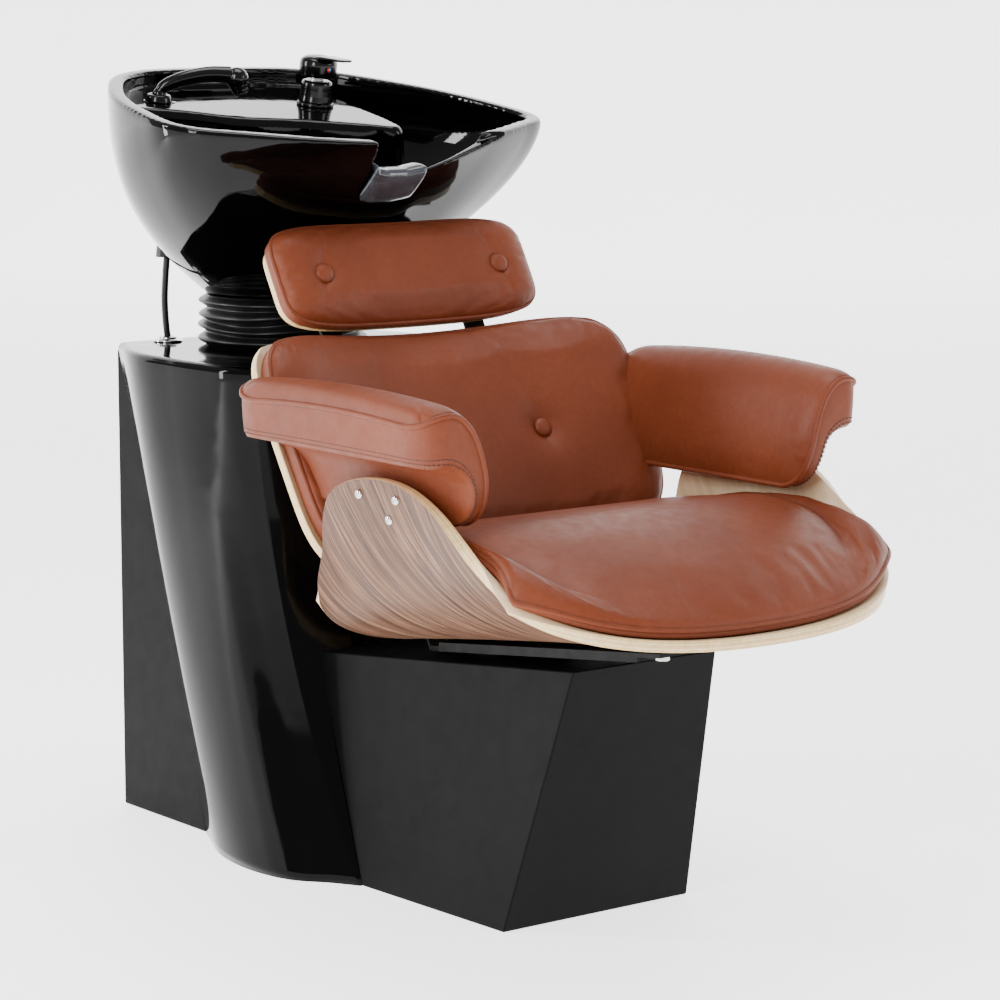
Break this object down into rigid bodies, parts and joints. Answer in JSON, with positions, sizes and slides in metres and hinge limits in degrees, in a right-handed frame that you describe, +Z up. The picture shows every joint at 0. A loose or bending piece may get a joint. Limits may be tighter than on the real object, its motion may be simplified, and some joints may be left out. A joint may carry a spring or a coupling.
{
  "type": "shampoo backwash unit",
  "caption": "Salon backwash unit: bent-plywood lounge chair with leather cushions on a faceted pedestal, joined to a column with a tilting black ceramic basin, mixer and hand shower.",
  "frame": {"origin": "centre of the whole unit's box on the floor", "axes": "+X to the sitter's left, -Y the way the sitter faces, +Z up"},
  "size_m": [0.66, 1.1602, 1.0204],
  "materials": {
    "gloss_shell": "high-gloss black moulded shell",
    "satin_panel": "satin black powder coat",
    "black_ceramic": "deep gloss black glaze",
    "frame_steel": "black powder-coated steel",
    "zinc_bolt": "zinc plated",
    "chrome_trim": "polished chrome",
    "walnut_ply": "walnut-faced bent plywood, satin lacquer, pale multi-ply edge",
    "tan_leather": "rust-tan smooth leather, piped and stitched",
    "black_rubber": "matt black rubber",
    "grey_gel": "translucent grey gel",
    "black_fitting": "gloss black",
    "grey_pipe": "plain grey waste pipe",
    "red_mark": "red and blue warm-cold mark"
  },
  "bodies": {
    "chair_and_column": {"column_shell": "gloss_shell", "rear_cabinet": "satin_panel", "access_panel": "satin_panel", "panel_screw_1": "zinc_bolt", "panel_screw_2": "zinc_bolt", "base_plate": "frame_steel", "seat_post": "frame_steel", "column_upright_left": "frame_steel", "column_upright_right": "frame_steel", "column_head_frame": "frame_steel", "pedestal_cover": "satin_panel", "seat_shell": "walnut_ply", "seat_cushion": "tan_leather", "seat_plate": "frame_steel", "seat_bolt_1": "zinc_bolt", "seat_bolt_2": "zinc_bolt", "back_shell": "walnut_ply", "back_cushion": "tan_leather", "headrest_shell": "walnut_ply", "headrest_cushion": "tan_leather", "back_button_left": "tan_leather", "back_button_right": "tan_leather", "headrest_button_left": "tan_leather", "headrest_button_right": "tan_leather", "headrest_post_left": "frame_steel", "headrest_post_right": "frame_steel", "back_bracket_left": "frame_steel", "back_bracket_right": "frame_steel", "arm_pad_left": "tan_leather", "arm_pad_right": "tan_leather", "tilt_bracket_left": "frame_steel", "tilt_bracket_right": "frame_steel", "tilt_pin": "zinc_bolt", "bellows": "black_rubber", "hose_grommet": "chrome_trim", "shower_hose": "black_rubber", "waste_hose": "grey_pipe", "supply_hose_hot": "black_rubber", "supply_hose_cold": "black_rubber", "arm_screw_left_1": "chrome_trim", "arm_screw_left_2": "chrome_trim", "arm_screw_left_3": "chrome_trim", "arm_screw_right_1": "chrome_trim", "arm_screw_right_2": "chrome_trim", "arm_screw_right_3": "chrome_trim"},
    "basin": {"basin": "black_ceramic", "waste_tailpiece": "grey_pipe", "tilt_lugs": "frame_steel", "hose_outlet_bush": "black_rubber", "mixer_escutcheon": "black_fitting", "mixer_body": "black_fitting", "handset_holder": "black_fitting"},
    "mixer_spindle": {"mixer_stem": "zinc_bolt"},
    "mixer_cap": {"mixer_lever": "black_fitting", "mixer_indicator": "red_mark"},
    "hand_shower": {"handset": "black_fitting", "handset_spray_face": "black_fitting"},
    "waste_strainer": {"strainer": "chrome_trim"},
    "gel_rest": {"neck_rest": "grey_gel"}
  },
  "joints": [
    {"name": "basin_tilt", "type": "hinge", "parent": "chair_and_column", "child": "basin", "pos_m": [0, 0.40265, 0.7], "axis": [1, 0, 0], "range_deg": [-12, 2], "deforming": ["bellows", "shower_hose", "waste_hose", "supply_hose_hot", "supply_hose_cold"]},
    {"name": "mixer_turn", "type": "hinge", "parent": "basin", "child": "mixer_spindle", "pos_m": [0.066, 0.41881, 0.95229], "axis": [0, -0.1668, 0.986], "range_deg": [-40, 40]},
    {"name": "mixer_lift", "type": "hinge", "parent": "mixer_spindle", "child": "mixer_cap", "pos_m": [0.066, 0.41047, 1.00159], "axis": [-1, 0, 0], "range_deg": [0, 15]},
    {"name": "handset_pull", "type": "slide", "parent": "basin", "child": "hand_shower", "axis": [0, -0.1668, 0.986], "range_m": [0, 0.06]},
    {"name": "strainer_lift", "type": "slide", "parent": "basin", "child": "waste_strainer", "axis": [0, -0.1668, 0.986], "range_m": [0, 0.02]},
    {"name": "neck_rest_pull", "type": "slide", "parent": "basin", "child": "gel_rest", "axis": [0, -0.9313, 0.3641], "range_m": [0, 0.03]}
  ]
}
